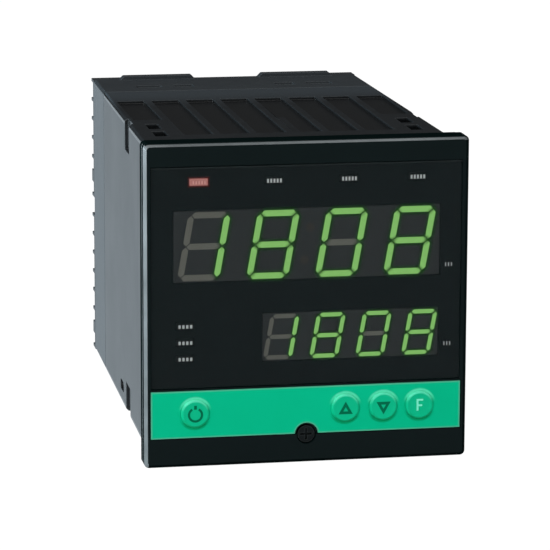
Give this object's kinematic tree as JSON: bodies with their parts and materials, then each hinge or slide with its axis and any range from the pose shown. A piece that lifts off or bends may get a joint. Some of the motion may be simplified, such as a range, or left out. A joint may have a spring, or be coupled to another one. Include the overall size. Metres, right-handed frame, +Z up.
{
  "type": "pid controller",
  "caption": "Panel-mounted digital process controller with a square black front, green key strip, two lit numeric displays and a deep ribbed case with rear screw terminals.",
  "frame": {"origin": "under the middle of the whole part, level with the bottom edge of the bezel", "axes": "+X to the right seen from the front, +Y from the front face back along the case, +Z up"},
  "size_m": [0.096, 0.1528, 0.096],
  "materials": {
    "case_plastic": "moulded polycarbonate blend, dark grey, fine spark texture, satin",
    "hood_plastic": "same moulding plastic as the sleeve, satin",
    "terminal_plastic": "glass-filled polyamide, dark grey, matte",
    "contact_metal": "tin-flashed brass strip",
    "clamp_steel": "zinc-plated steel",
    "screw_steel": "zinc-plated steel",
    "gasket_rubber": "closed-cell black rubber",
    "bezel_plastic": "black moulded plastic, fine texture",
    "smoked_window": "smoked polycarbonate, glossy",
    "strip_green": "green silicone-coated keypad skin, satin",
    "key_green": "green keypad skin, satin, printed symbol",
    "plunger_plastic": "natural nylon",
    "switch_plastic": "black plastic",
    "board_laminate": "green solder-masked glass laminate",
    "black_screw": "blackened steel",
    "display_body": "grey-black display face",
    "segment_lit": "light bar, glowing green",
    "segment_unlit": "light bar, dark",
    "guide_lit": "light guide, glowing red",
    "guide_clear": "clear acrylic, dark behind the window",
    "lamp_body": "clear epoxy",
    "socket_plastic": "black polyester",
    "spacer_nylon": "white nylon",
    "core_steel": "varnished steel laminations",
    "coil_tape": "yellow insulating tape over copper wire",
    "relay_case": "blue thermoplastic",
    "capacitor_sleeve": "shrink sleeve over aluminium can",
    "chip_plastic": "moulded epoxy"
  },
  "bodies": {
    "controller": {"sleeve": "case_plastic", "terminal_hood": "hood_plastic", "terminal_strip_upper_left": "terminal_plastic", "terminal_strip_lower_left": "terminal_plastic", "terminal_strip_upper_right": "terminal_plastic", "terminal_strip_lower_right": "terminal_plastic", "terminal_contacts": "contact_metal", "wire_clamps": "clamp_steel", "terminal_screws": "screw_steel", "panel_gasket": "gasket_rubber", "bezel": "bezel_plastic", "front_window": "smoked_window", "key_strip": "strip_green", "key_switches": "switch_plastic", "display_board": "board_laminate", "board_screws": "screw_steel", "retaining_screw": "black_screw", "screw_insert": "contact_metal", "pv_display_left": "display_body", "pv_display_right": "display_body", "sp_display": "display_body", "pv_segments_lit": "segment_lit", "pv_segments_unlit": "segment_unlit", "sp_segments_lit": "segment_lit", "sp_segments_unlit": "segment_unlit", "light_guide_lit": "guide_lit", "light_guides": "guide_clear", "indicator_lamps": "lamp_body", "cpu_board": "board_laminate", "cpu_rear_socket": "socket_plastic", "power_board": "board_laminate", "power_rear_socket": "socket_plastic", "board_headers": "socket_plastic", "board_spacers": "spacer_nylon", "transformer_core": "core_steel", "transformer_coil": "coil_tape", "output_relays": "relay_case", "capacitors": "capacitor_sleeve", "processor": "chip_plastic", "small_chips": "chip_plastic"},
    "standby_key": {"key_standby": "key_green", "switch_plunger_standby": "plunger_plastic"},
    "up_key": {"key_up": "key_green", "switch_plunger_up": "plunger_plastic"},
    "down_key": {"key_down": "key_green", "switch_plunger_down": "plunger_plastic"},
    "function_key": {"key_function": "key_green", "switch_plunger_function": "plunger_plastic"}
  },
  "joints": [
    {"name": "press_standby", "type": "slide", "parent": "controller", "child": "standby_key", "axis": [0, 1, 0], "range_m": [0, 0.0006], "stiffness_N_per_m": 400},
    {"name": "press_up", "type": "slide", "parent": "controller", "child": "up_key", "axis": [0, 1, 0], "range_m": [0, 0.0006], "stiffness_N_per_m": 400},
    {"name": "press_down", "type": "slide", "parent": "controller", "child": "down_key", "axis": [0, 1, 0], "range_m": [0, 0.0006], "stiffness_N_per_m": 400},
    {"name": "press_function", "type": "slide", "parent": "controller", "child": "function_key", "axis": [0, 1, 0], "range_m": [0, 0.0006], "stiffness_N_per_m": 400}
  ]
}
